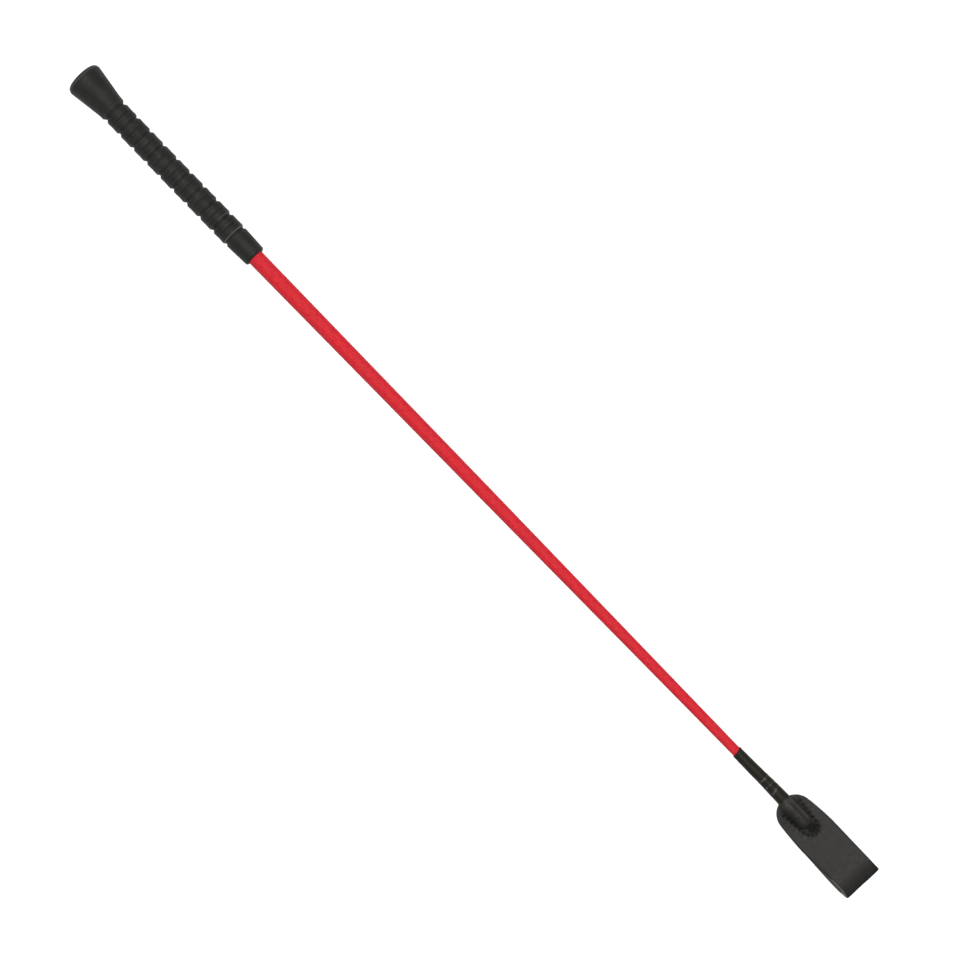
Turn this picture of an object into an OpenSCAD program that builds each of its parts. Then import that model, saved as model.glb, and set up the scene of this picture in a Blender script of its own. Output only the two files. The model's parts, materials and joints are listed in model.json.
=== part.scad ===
// Riding crop: a tapered, braided shaft with a ribbed rubber grip and a folded leather flap.
// It lies along +X, from the butt face at the origin to the fold at the end of the flap.
// +Z is normal to the flap, and the shaft's axis is the X axis. All lengths are millimetres.

/* [Overall] */
// Length from the butt face to the fold of the flap
crop_l = 650; // [600:1:700]

/* [Grip] */
// Diameter across the ribs
rib_d = 15.1; // [14.6:0.1:16]
// Largest diameter of the flared butt
flare_d = 22; // [20:0.1:24]
// Angle of the flare's side to the axis
flare_angle = 8.4; // [8:0.1:10]
// Radius round the edge of the butt face
butt_edge_r = 2.2; // [1:0.1:3]
// Diameter of the short collar between the flare and the first groove
collar_d = 15.9; // [15.5:0.1:16.5]
// Distance from the butt face to the middle of the first ring groove
groove_start = 28.1; // [27.5:0.1:32]
// Distance between neighbouring ring grooves
groove_pitch = 11.07; // [10.5:0.01:12]
// Number of ring grooves
groove_n = 10; // [6:1:11]
// Depth of a ring groove below the ribs
groove_depth = 1.2; // [0.8:0.05:1.5]
// Width of a ring groove where it opens on the ribs
groove_w = 3; // [2.5:0.1:4]
// Width of the flat floor of a ring groove
groove_floor_w = 0.6; // [0.5:0.1:1.5]
// Depth of the short cross groove in the middle of a rib, front and back
cross_depth = 0.6; // [0.3:0.05:0.8]
// Half the angle that a cross groove spans round the rib
cross_angle = 58; // [40:1:70]
// Length of the tapered collar from the last groove to the mouth
mouth_l = 17.07; // [15:0.01:20]
// Diameter of the tapered collar at the last groove
mouth_root_d = 14.7; // [14:0.1:15]
// Diameter of the tapered collar at the lip
mouth_d = 13.3; // [12.8:0.1:14]
// Radius round the lip of the mouth
lip_r = 1; // [0.8:0.1:1.6]
// Thickness of the rubber behind the end of the shaft
end_wall = 7; // [5:0.5:8]

/* [Shaft] */
// Diameter of the braid from the butt to the mouth of the grip
cover_butt_d = 9.45; // [8.5:0.05:9.5]
// Diameter of the braid where its taper steepens
cover_mid_d = 7.95; // [7.4:0.05:8.1]
// Distance from the butt face to where the taper steepens
taper_mid = 327; // [300:1:350]
// Diameter of the braid where the tip sleeve starts
cover_tip_d = 5.45; // [5:0.05:5.6]
// Thickness of the braid
cover_t = 0.75; // [0.5:0.05:0.8]
// Diameter of the glass-fibre rod under the grip
rod_butt_d = 5.5; // [5:0.1:6]
// Diameter of the rod at its tip
rod_tip_d = 2.8; // [2.5:0.1:3]
// Thickness of the adhesive tape that holds the grip
tape_t = 0.25; // [0.15:0.05:0.3]
// Thickness of the thread wound round each end of the braid
whipping_t = 0.45; // [0.3:0.05:0.5]
// Length of the whipping at the butt
butt_whipping_l = 14; // [8:1:16]
// Radial clearance between the braid and what is round it in the grip
braid_play = 0.1; // [0.05:0.05:0.2]

/* [Tip sleeve] */
// Length of the sleeve that shows between the braid and the flap
sleeve_l = 38.1; // [34:0.1:42]
// Diameter of the sleeve at its start
sleeve_start_d = 6.6; // [6.4:0.1:7]
// Diameter of the sleeve at the first band
sleeve_band_d = 7.1; // [6.9:0.1:7.4]
// Diameter of the sleeve where it enters the flap
sleeve_end_d = 8; // [7.6:0.1:8.2]
// Thickness of the sleeve
sleeve_t = 0.35; // [0.25:0.05:0.4]
// Length of the whipping under the start of the sleeve
tip_whipping_l = 10; // [6:1:12]
// Distance from the start of the sleeve to the first band
band_start = 20.4; // [18:0.1:22]
// Distance between neighbouring bands
band_pitch = 4.65; // [4:0.05:5]
// Length of a band along the shaft
band_w = 1.5; // [1:0.1:2]
// How far a band stands out of the sleeve
band_h = 0.3; // [0.2:0.05:0.5]

/* [Flap] */
// Width of the flap
flap_w = 25.2; // [24:0.1:28]
// Length of the flap, from its rounded end to the fold
flap_l = 67.2; // [66:0.1:72]
// Radius of the flap's rounded end
arch_r = 11.2; // [10.5:0.1:12]
// Distance from the middle of the rounded end to where the sides are parallel
flap_taper_l = 13; // [10:0.5:15]
// Thickness of one leaf of leather
leaf_t = 1.4; // [1.2:0.1:1.6]
// Gap between the two leaves past the stitching
leaf_gap = 0.2; // [0.1:0.05:0.4]
// Thickness of the leather over the end of the shaft
bulge_t = 1.3; // [1:0.1:1.5]
// How far the front and back of the bulge over the shaft's end are pressed flat
bulge_press = 0.4; // [0.3:0.05:0.5]
// Distance that the shaft reaches into the flap
tip_reach = 17; // [15:0.5:18]
// Distance from the rounded end to the line on which the flap bends
bend_at = 32.2; // [32:0.1:34]
// Clearance between the two leathers at the bend
bend_play = 0.3; // [0.2:0.05:0.4]

/* [Stitching] */
// Half the width of the stitched U
stitch_half_w = 5.8; // [5.6:0.1:6.5]
// Distance from the rounded end to the first stitch
stitch_inset = 5; // [4:0.5:7]
// Distance from the rounded end to the round end of the U
stitch_reach = 27; // [26:0.1:28]
// Length of one stitch
stitch_l = 2.3; // [1.8:0.1:2.4]
// Distance between neighbouring stitches
stitch_pitch = 3; // [2.8:0.1:3.4]
// Diameter of the sewing thread
thread_d = 0.7; // [0.5:0.05:0.8]

/* [Hidden] */
$fn = 96;
arc_steps = 5;
shoulder_r = 12;
neck_r = 25;
end_play = 0.5;
past = 1;

// Radii of the grip
rib_r = rib_d / 2;
flare_r = flare_d / 2;
collar_r = collar_d / 2;
groove_floor_r = rib_r - groove_depth;
groove_flank = (groove_w - groove_floor_w) / 2 / groove_depth;

// A cross groove is a ring cut from an axis set off to the other side, so that it runs out at its ends
cross_offset = cross_depth / (1 - cos(cross_angle));
cross_floor_r = rib_r + cross_offset * cos(cross_angle);

// Places along the axis
grip_l = groove_start + (groove_n - 1) * groove_pitch + mouth_l;
last_groove = groove_start + (groove_n - 1) * groove_pitch;
shoulder_end = [
    flare_r - shoulder_r * (1 - cos(flare_angle)),
    butt_edge_r + shoulder_r * sin(flare_angle)
];
neck_x = shoulder_end[1] + (shoulder_end[0] - collar_r) / tan(flare_angle);
neck_run = neck_r * tan(flare_angle / 2);
flap_x = crop_l - flap_l;
arch_x = flap_x + arch_r;
sleeve_x = flap_x + past - sleeve_l;
flap_mouth = flap_x + past;
tip_x = flap_x + tip_reach;
rod_end = tip_x + 2;
bend_x = flap_x + bend_at;
shaft_x = end_wall + end_play;

// Radii of the shaft and of what is wound on it
bore_r = cover_butt_d / 2 + braid_play + tape_t;
whipping_bore_r = cover_butt_d / 2 + braid_play + whipping_t;
leather_half = leaf_t + leaf_gap / 2;
seat_r = leather_half + bend_play;
bulge_start_r = sleeve_end_d / 2 + bulge_t;
bulge_end_r = bulge_start_r - 0.25;

// Linear interpolation between two places along the axis
function between(x, x0, r0, x1, r1) = r0 + (r1 - r0) * (x - x0) / (x1 - x0);

// Radius of the rod, parallel in the grip and tapered beyond it
function rod_r(x) = x <= grip_l ? rod_butt_d / 2
    : between(x, grip_l, rod_butt_d / 2, rod_end, rod_tip_d / 2);

// Radius of the braid, parallel in the grip and tapered in two stretches beyond it
function cover_r(x) = x <= grip_l ? cover_butt_d / 2
    : x <= taper_mid ? between(x, grip_l, cover_butt_d / 2, taper_mid, cover_mid_d / 2)
    : between(x, taper_mid, cover_mid_d / 2, sleeve_x, cover_tip_d / 2);

// Radius of the outside of the tip sleeve
function sleeve_r(x) =
    x <= sleeve_x + band_start
    ? between(x, sleeve_x, sleeve_start_d / 2, sleeve_x + band_start, sleeve_band_d / 2)
    : x <= flap_mouth
    ? between(x, sleeve_x + band_start, sleeve_band_d / 2, flap_mouth, sleeve_end_d / 2)
    : sleeve_end_d / 2;

// Points of an arc about c, from angle a0 to angle a1
function arc(c, r, a0, a1) = [
    for (i = [0 : arc_steps])
        c + r * [cos(a0 + (a1 - a0) * i / arc_steps), sin(a0 + (a1 - a0) * i / arc_steps)]
];

// Lays a shape that stands on Z along the X axis
module along_x() {
    rotate([0, 90, 0]) children();
}

// Solid between an inner and an outer line of [radius, distance] points
module turned(inner, outer) {
    along_x()
        rotate_extrude()
            polygon(concat(inner, [for (i = [len(outer) - 1 : -1 : 0]) outer[i]]));
}

// Ring with a flat floor that opens outwards, for cutting a groove
module ring_cut(floor_r, floor_w, flank, reach) {
    rotate_extrude()
        polygon([
            [floor_r, -floor_w / 2],
            [floor_r + reach, -floor_w / 2 - flank * reach],
            [floor_r + reach, floor_w / 2 + flank * reach],
            [floor_r, floor_w / 2]
        ]);
}

// Half outline of the grip: butt face, flare, collar, ribs, mouth
module grip_outline() {
    polygon(concat(
        [[0, 0]],
        arc([flare_r - butt_edge_r, butt_edge_r], butt_edge_r, -90, 0),
        arc([flare_r - shoulder_r, butt_edge_r], shoulder_r, flare_angle / arc_steps, flare_angle),
        arc([collar_r + neck_r, neck_x + neck_run], neck_r, 180 + flare_angle, 180),
        [[collar_r, groove_start], [rib_r, groove_start]],
        [[rib_r, last_groove], [mouth_root_d / 2, last_groove]],
        arc([mouth_d / 2 - lip_r, grip_l - lip_r], lip_r, 0, 90),
        [[0, grip_l]]
    ));
}

// Moulded rubber grip, closed at the flared butt
module rubber_grip() {
    color([0.16, 0.16, 0.155])
        along_x()
            difference() {
                rotate_extrude() grip_outline();
                for (i = [0 : groove_n - 1])
                    translate([0, 0, groove_start + i * groove_pitch])
                        ring_cut(groove_floor_r, groove_floor_w, groove_flank, groove_depth + past);
                for (i = [0 : groove_n - 2], side = [-1, 1])
                    translate([side * cross_offset, 0, groove_start + (i + 0.5) * groove_pitch])
                        ring_cut(cross_floor_r, cross_depth, 1, cross_depth + past);
                translate([0, 0, end_wall])
                    cylinder(r = bore_r, h = grip_l);
                translate([0, 0, end_wall])
                    cylinder(r = whipping_bore_r, h = butt_whipping_l + end_play);
            }
}

// Tape on the shaft that holds the grip
module grip_tape() {
    start = end_wall + butt_whipping_l + 2 * end_play;
    color([0.75, 0.70, 0.58])
        turned(
            [[bore_r - tape_t, start], [bore_r - tape_t, grip_l - lip_r]],
            [[bore_r, start], [bore_r, grip_l - lip_r]]
        );
}

// Thread that binds the braid's upper end, inside the butt
module butt_whipping() {
    inner = whipping_bore_r - whipping_t;
    finish = shaft_x + butt_whipping_l - end_play;
    color([0.12, 0.12, 0.13])
        turned(
            [[inner, shaft_x], [inner, finish]],
            [[whipping_bore_r, shaft_x], [whipping_bore_r, finish]]
        );
}

// Glass-fibre rod, the spring of the crop
module core_rod() {
    chamfer = 0.4;
    color([0.86, 0.85, 0.76])
        turned(
            [[0, shaft_x], [0, rod_end]],
            [
                [rod_r(shaft_x) - chamfer, shaft_x],
                [rod_r(shaft_x), shaft_x + chamfer],
                [rod_r(grip_l), grip_l],
                [rod_tip_d / 2, rod_end - chamfer],
                [rod_tip_d / 2 - chamfer, rod_end]
            ]
        );
}

// Filler yarn between the rod and the braid
module under_braid() {
    start = shaft_x + 0.4;
    color([0.80, 0.78, 0.72])
        turned(
            [for (x = [start, grip_l, tip_x - 6]) [rod_r(x), x]],
            [for (x = [start, grip_l, taper_mid, tip_x - 6]) [cover_r(x) - cover_t, x]]
        );
}

// Braided nylon cover of the shaft
module braid_cover() {
    stops = [shaft_x, grip_l, taper_mid, tip_x - 6];
    color([0.72, 0.05, 0.09])
        turned(
            [for (x = stops) [cover_r(x) - cover_t, x]],
            [for (x = stops) [cover_r(x), x]]
        );
}

// Thread that binds the braid's lower end, under the start of the sleeve
module tip_whipping() {
    start = sleeve_x + end_play;
    finish = start + tip_whipping_l;
    color([0.12, 0.12, 0.13])
        turned(
            [[cover_r(start), start], [cover_r(finish), finish]],
            [[sleeve_r(start) - sleeve_t, start], [sleeve_r(finish) - sleeve_t, finish]]
        );
}

// Tape wound up under the sleeve to fill the flap's socket
module tip_packing() {
    start = sleeve_x + tip_whipping_l + 2 * end_play;
    stops = [start, sleeve_x + band_start, flap_mouth, tip_x];
    color([0.30, 0.29, 0.27])
        turned(
            [
                [cover_r(start), start],
                [cover_r(tip_x - 6), tip_x - 6],
                [rod_r(tip_x - 6), tip_x - 6],
                [rod_r(tip_x), tip_x]
            ],
            [for (x = stops) [sleeve_r(x) - sleeve_t, x]]
        );
}

// Black sleeve over the lower end of the braid
module tip_sleeve() {
    stops = [sleeve_x, sleeve_x + band_start, flap_mouth, tip_x];
    color([0.14, 0.13, 0.11])
        turned(
            [for (x = stops) [sleeve_r(x) - sleeve_t, x]],
            [for (x = stops) [sleeve_r(x), x]]
        );
}

// One lacquered band tied round the sleeve, number i from the braid
module sleeve_band(i) {
    middle = sleeve_x + band_start + i * band_pitch;
    color([0.22, 0.21, 0.19])
        turned(
            [for (x = [middle - band_w / 2, middle + band_w / 2]) [sleeve_r(x), x]],
            [
                [sleeve_r(middle - band_w / 2) + band_h / 3, middle - band_w / 2],
                [sleeve_r(middle) + band_h, middle - band_w / 6],
                [sleeve_r(middle) + band_h, middle + band_w / 6],
                [sleeve_r(middle + band_w / 2) + band_h / 3, middle + band_w / 2]
            ]
        );
}

// Flat outline of the flap from its rounded end to a place x
module flap_plan(x_end) {
    lean = atan2(flap_w / 2 - arch_r, flap_taper_l);
    union() {
        translate([arch_x, 0]) circle(r = arch_r);
        polygon([
            for (side = [-1, 1], p = side < 0 ? [0, 1, 2] : [2, 1, 0])
                p == 0 ? [arch_x - arch_r * sin(lean), side * arch_r * cos(lean)]
                : p == 1 ? [arch_x + flap_taper_l, side * flap_w / 2]
                : [x_end, side * flap_w / 2]
        ]);
    }
}

// Raised leather over the end of the shaft, pressed flat front and back, so that the crop lies still
module bulge() {
    flat = bulge_start_r - bulge_press;
    intersection() {
        along_x()
            rotate_extrude()
                intersection() {
                    union() {
                        polygon([
                            [0, flap_mouth],
                            [bulge_start_r, flap_mouth],
                            [bulge_end_r, tip_x - 1],
                            [0, tip_x - 1]
                        ]);
                        translate([0, tip_x - 1]) circle(r = bulge_end_r);
                    }
                    translate([0, flap_mouth]) square([bulge_start_r, flap_l]);
                }
        translate([flap_mouth, -flap_w, -flat])
            cube([flap_l, 2 * flap_w, 2 * flat]);
    }
}

// Sewn end of the leather strip: both leaves, closed round the end of the shaft
module flap_root() {
    lip = seat_r / sqrt(2);
    color([0.20, 0.19, 0.18])
        difference() {
            union() {
                linear_extrude(height = 2 * leather_half, center = true)
                    flap_plan(bend_x - lip);
                bulge();
            }
            turned(
                [[0, flap_x - past], [0, rod_end + end_play]],
                [
                    [sleeve_end_d / 2, flap_x - past],
                    [sleeve_end_d / 2, tip_x],
                    [rod_tip_d / 2, rod_end + end_play]
                ]
            );
            // Seat in which the free end rolls
            translate([bend_x, 0, 0])
                rotate([90, 0, 0])
                    cylinder(r = seat_r, h = 2 * flap_w, center = true);
            // The seat's lips lean back, so that the free end can swing past them
            for (side = [-1, 1])
                translate([bend_x - lip, 0, side * lip])
                    rotate([0, side * -45, 0])
                        translate([0, -flap_w, -2 * past])
                            cube([4 * past, 2 * flap_w, 4 * past]);
        }
}

// Free end of the leather strip: two leaves that meet in the fold
module flap_blade() {
    color([0.20, 0.19, 0.18])
        rotate([90, 0, 0])
            linear_extrude(height = flap_w, center = true)
                difference() {
                    union() {
                        translate([bend_x, 0]) circle(r = leather_half);
                        translate([bend_x, -leather_half])
                            square([crop_l - leather_half - bend_x, 2 * leather_half]);
                        translate([crop_l - leather_half, 0]) circle(r = leather_half);
                    }
                    translate([bend_x + 2 * leather_half, -leaf_gap / 2])
                        square([crop_l - bend_x - 3 * leather_half, leaf_gap]);
                }
}

// One loop of sewing thread through both leaves, along X
module stitch() {
    half = leather_half + thread_d / 2;
    difference() {
        linear_extrude(height = 2 * half, center = true)
            union() {
                square([stitch_l - thread_d, thread_d], center = true);
                for (side = [-1, 1])
                    translate([side * (stitch_l - thread_d) / 2, 0]) circle(d = thread_d);
            }
        cube([stitch_l - 2 * thread_d, 2 * thread_d, 2 * (half - thread_d)], center = true);
    }
}

// Stitches that run up one side of the shaft's end, round it and back
module flap_stitching() {
    turn_x = flap_x + stitch_reach - stitch_half_w;
    leg_l = turn_x - flap_x - stitch_inset;
    leg_n = floor(leg_l / stitch_pitch);
    turn_n = round(180 * stitch_half_w * PI / 180 / stitch_pitch);
    color([0.08, 0.08, 0.08]) {
        for (i = [0 : leg_n - 1], side = [-1, 1])
            translate([turn_x - (i + 0.5) * stitch_pitch, side * stitch_half_w, 0])
                stitch();
        for (i = [0 : turn_n - 1])
            translate([turn_x, 0, 0])
                rotate([0, 0, -90 + (i + 0.5) * 180 / turn_n])
                    translate([stitch_half_w, 0, 0])
                        rotate([0, 0, 90])
                            stitch();
    }
}

rubber_grip();
grip_tape();
butt_whipping();
core_rod();
under_braid();
braid_cover();
tip_whipping();
tip_packing();
tip_sleeve();
sleeve_band(0);  // sleeve_band_rear
sleeve_band(1);  // sleeve_band_middle
sleeve_band(2);  // sleeve_band_front
flap_root();
flap_stitching();
flap_blade();
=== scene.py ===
"""Looks of a riding crop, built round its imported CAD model.

The crop lies along +X, from the butt at the origin to the fold of its flap, and +Z is the flap's front.
Lengths are in metres. Sizes written with MM are millimetres on the real crop.
"""

import json
import math

import bpy
import numpy as np
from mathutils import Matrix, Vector


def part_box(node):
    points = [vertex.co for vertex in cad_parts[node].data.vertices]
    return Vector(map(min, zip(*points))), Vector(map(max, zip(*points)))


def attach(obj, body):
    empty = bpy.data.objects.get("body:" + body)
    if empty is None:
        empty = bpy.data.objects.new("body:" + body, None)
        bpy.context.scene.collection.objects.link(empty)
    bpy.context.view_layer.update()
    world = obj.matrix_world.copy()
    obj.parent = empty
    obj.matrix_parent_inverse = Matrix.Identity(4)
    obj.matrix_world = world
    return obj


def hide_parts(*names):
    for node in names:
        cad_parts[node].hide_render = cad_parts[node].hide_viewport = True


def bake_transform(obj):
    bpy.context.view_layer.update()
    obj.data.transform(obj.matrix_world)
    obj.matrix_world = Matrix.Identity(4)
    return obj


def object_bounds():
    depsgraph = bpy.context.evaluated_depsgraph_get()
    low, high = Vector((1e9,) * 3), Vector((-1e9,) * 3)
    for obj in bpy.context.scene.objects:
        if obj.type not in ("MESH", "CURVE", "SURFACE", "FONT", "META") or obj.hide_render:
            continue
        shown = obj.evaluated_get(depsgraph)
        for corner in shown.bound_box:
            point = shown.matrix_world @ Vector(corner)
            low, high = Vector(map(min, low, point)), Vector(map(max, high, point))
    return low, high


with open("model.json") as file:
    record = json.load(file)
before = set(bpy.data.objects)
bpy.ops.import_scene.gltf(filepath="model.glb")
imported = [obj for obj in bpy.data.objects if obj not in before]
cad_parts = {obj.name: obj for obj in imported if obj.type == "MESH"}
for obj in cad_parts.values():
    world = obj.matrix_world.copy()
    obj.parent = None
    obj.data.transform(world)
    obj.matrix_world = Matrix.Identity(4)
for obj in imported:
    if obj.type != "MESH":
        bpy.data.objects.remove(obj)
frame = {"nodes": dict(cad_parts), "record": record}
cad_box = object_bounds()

MM = 0.001
TURN = 2 * math.pi

# ---- sizes

MOUNT = {mount["name"]: mount for mount in frame["record"]["mounts"]}

# Grip
GRIP_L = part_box("rubber_grip")[1].x
RIB_R = MOUNT["grip_rib"]["dims"]["r_mm"] * MM
FLARE_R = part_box("rubber_grip")[1].z
FLARE_ANGLE = math.radians(8.4)
SHOULDER_X = 3.08 * MM
BUTT_EDGE_R = 2.2 * MM
GATE_R = 1.3 * MM
COLLAR_R = 7.95 * MM
GROOVE_START = 28.1 * MM
GROOVE_PITCH = 11.07 * MM
GROOVE_COUNT = 10
GROOVE_DEPTH = 1.1 * MM
GROOVE_W = 3.0 * MM
GROOVE_FLOOR_W = 0.6 * MM
# The ring grooves are shallower in the middle of the front and of the back, by this share of their depth
GROOVE_FADE = 0.45
CROSS_DEPTH = 0.75 * MM
CROSS_ANGLE = math.radians(58)
MOUTH_ROOT_R = 7.35 * MM
MOUTH_R = 6.65 * MM
LIP_R = 1.0 * MM
LAST_GROOVE = GROOVE_START + (GROOVE_COUNT - 1) * GROOVE_PITCH
END_WALL = 7.0 * MM
BORE_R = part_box("grip_tape")[1].z
WIDE_BORE_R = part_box("butt_whipping")[1].z
WIDE_BORE_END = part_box("butt_whipping")[1].x + 0.5 * MM

# Braid: this many strands wind each way, and all keep one lay length
STRANDS = 16
LAY_L = 25.6 * MM
PER_STRAND = 4
BRAID_T = 0.75 * MM
RELIEF = 0.28 * MM
CREST = 0.25 * MM

# The sleeve was slid on a little further than it needs, and cut at a slant
SLEEVE_EARLY = 1.6 * MM
SLEEVE_SLANT = 0.2

# Flap
FLAP_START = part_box("flap_root")[0].x
FLAP_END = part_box("flap_blade")[1].x
LEAF_T = 1.4 * MM
LEAF_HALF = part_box("flap_blade")[1].z
ARCH_R = 11.3 * MM
ARCH_X = FLAP_START + 10.7 * MM
ARCH_Y = -0.5 * MM
ARCH_ANGLE = math.radians(80)
PARALLEL_X = ARCH_X + 16.5 * MM
EDGE_HIGH = 12.2 * MM
EDGE_LOW = -13.0 * MM
LEAVES_PART_X = 612 * MM
FRONT_INSET = 0.75 * MM
BACK_OUTSET = 0.9 * MM
FOLD_REACH = 4.4 * MM
FOLD_SLANT = 0.7 * MM
# The high edge draws in along this stretch, by HIGH_TAPER
TAPER_START, TAPER_L = 605 * MM, 40 * MM
HIGH_TAPER = 0.5 * MM
TIP_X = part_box("tip_sleeve")[1].x
STITCH_HALF_W = 5.8 * MM
STITCH_PITCH = 3.0 * MM
STITCH_L = 2.3 * MM
STITCH_TURN_X = FLAP_START + 21.2 * MM
STITCHES_A_LEG = 5
THREAD_R = 0.35 * MM
# The U of stitches is 0.9 of its width at this place, and gets wider towards the shaft, by this much a metre
SEAM_X = TIP_X + 2 * MM
SEAM_SHARE = 0.9
SEAM_SPREAD = 18
# A hollow between the shaft's end and the turn of the stitches
PIT_X = TIP_X + 7.0 * MM

# ---- numbers


def smoothstep(value):
    t = np.clip(value, 0, 1)
    return t * t * (3 - 2 * t)


def soft_min(a, b, width):
    """The lesser of a and b, rounded where they cross."""
    h = np.maximum(width - np.abs(a - b), 0) / width
    return np.minimum(a, b) - h * h * width / 4


def soft_max(a, b, width):
    return -soft_min(-a, -b, width)


def hump(value, centre, width):
    """A bell, 1 at the centre."""
    return np.exp(-(((value - centre) / width) ** 2))


def wobble(seed, count, *places):
    """A smooth wander from -1 to 1: a sum of a few waves with seeded directions and starts."""
    rng = np.random.default_rng(seed)
    total = 0
    for _ in range(count):
        rates = rng.uniform(0.4, 1.6, len(places)) * rng.choice([-1, 1], len(places))
        total = total + np.sin(sum(r * p for r, p in zip(rates, places)) + rng.uniform(0, TURN))
    return total / count


def stations(start, end, step, marks, reach, fine):
    """Places from start to end, a step apart, and only fine apart within reach of a mark."""
    places = [np.arange(start, end, step), [end]]
    places += [np.arange(mark - reach, mark + reach, fine) for mark in marks]
    merged = np.unique(np.clip(np.concatenate(places), start, end))
    keep = np.append(True, np.diff(merged) > fine * 0.4)
    keep[-1] = True
    return merged[keep]


def cad_profile(node):
    """A turned CAD node's outer line, as the function that gives its radius at x."""
    vertices = frame["nodes"][node].data.vertices
    points = np.array([v.co for v in vertices])
    normals = np.array([v.normal for v in vertices])
    points = points[(points * normals)[:, 1:].sum(axis=1) > 0]
    x = np.round(points[:, 0], 6)
    stops = np.unique(x)
    radius = [np.hypot(points[x == stop, 1], points[x == stop, 2]).max() for stop in stops]
    return lambda at: np.interp(at, stops, radius)


# ---- meshes


def new_object(name, data):
    """An object of that data, placed in the scene."""
    thing = bpy.data.objects.new(name, data)
    bpy.context.scene.collection.objects.link(thing)
    return thing


def new_piece(name, points, faces, material, sharp=None):
    """A smooth-shaded mesh that keeps its rest position, in millimetres, for its material to read."""
    points = np.asarray(points, float).reshape(-1, 3)
    mesh = bpy.data.meshes.new(name)
    mesh.from_pydata(points.tolist(), [], faces)
    mesh.materials.append(material)
    mesh.polygons.foreach_set("use_smooth", [True] * len(mesh.polygons))
    if sharp:
        mesh.set_sharp_from_angle(angle=math.radians(sharp))
    rest = mesh.attributes.new("rest", "FLOAT_VECTOR", "POINT")
    rest.data.foreach_set("vector", (points / MM).astype(np.float32).ravel())
    return new_object(name, mesh)


def mark(piece, name, values):
    """Stores one number per point, which the piece's material reads."""
    attribute = piece.data.attributes.new(name, "FLOAT", "POINT")
    attribute.data.foreach_set("value", np.asarray(values, np.float32).ravel())


def ring_faces(starts, columns):
    """Four-sided faces between rings of points. Each ring closes on itself, and begins at its start."""
    starts = np.asarray(starts)
    column = np.arange(columns)
    beside = (column + 1) % columns
    near, far = starts[:-1, None], starts[1:, None]
    return np.stack([near + column, near + beside, far + beside, far + column], -1).reshape(-1, 4).tolist()


def tube_faces(rows, columns, loop=False):
    """Faces of rows of points one after the other, which loop joins from the last row to the first."""
    starts = np.arange(rows) * columns
    return ring_faces(np.append(starts, 0) if loop else starts, columns)


def lathe(x, radius, angles):
    """Points of rows turned about the X axis: x and radius are one per row, or one per point."""
    x, radius = (np.asarray(a, float) for a in (x, radius))
    x, radius = (a[:, None] if a.ndim == 1 else a for a in (x, radius))
    x = x + 0 * angles
    return np.stack([x, radius * np.cos(angles), radius * np.sin(angles)], -1)


def closed_lathe(name, grid, material, sharp):
    """A piece over a lathe's points, with a point on the axis closing each end."""
    rows, columns = grid.shape[:2]
    first, last = rows * columns, rows * columns + 1
    near = [[first, (c + 1) % columns, c] for c in range(columns)]
    base = (rows - 1) * columns
    far = [[last, base + c, base + (c + 1) % columns] for c in range(columns)]
    ends = [grid[0].mean(axis=0), grid[-1].mean(axis=0)]
    points = np.concatenate([grid.reshape(-1, 3), ends])
    return new_piece(name, points, tube_faces(rows, columns) + near + far, material, sharp)


def columns_round(count):
    """Angles of that many columns, evenly round the axis."""
    return np.arange(count) * TURN / count


def arc(centre, radius, start, end, count):
    """x and radius along an arc in the half plane, from one angle in degrees to another."""
    a = np.radians(np.linspace(start, end, count))
    return np.stack([centre[0] + radius * np.cos(a), centre[1] + radius * np.sin(a)], -1)


def coil(name, start, end, radius_at, thread_d, material):
    """Thread wound side by side round the shaft, from start to end."""
    per_turn, sides = 36, 6
    turns = int((end - start) / thread_d)
    t = np.linspace(0, turns * TURN, turns * per_turn)[:, None]
    along = start + thread_d / 2 + (end - start - thread_d) * t / t[-1]
    round_thread = columns_round(sides)
    radius = radius_at(along) + thread_d / 2 * (1 + np.cos(round_thread))
    x = along + thread_d / 2 * np.sin(round_thread)
    grid = np.stack([x, radius * np.cos(t), radius * np.sin(t)], -1)
    last = (len(grid) - 1) * sides
    faces = [face[::-1] for face in tube_faces(len(grid), sides)]
    faces.append(list(range(sides)))
    faces.append(list(range(last + sides - 1, last - 1, -1)))
    return new_piece(name, grid, faces, material, sharp=60)


# ---- materials


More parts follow.
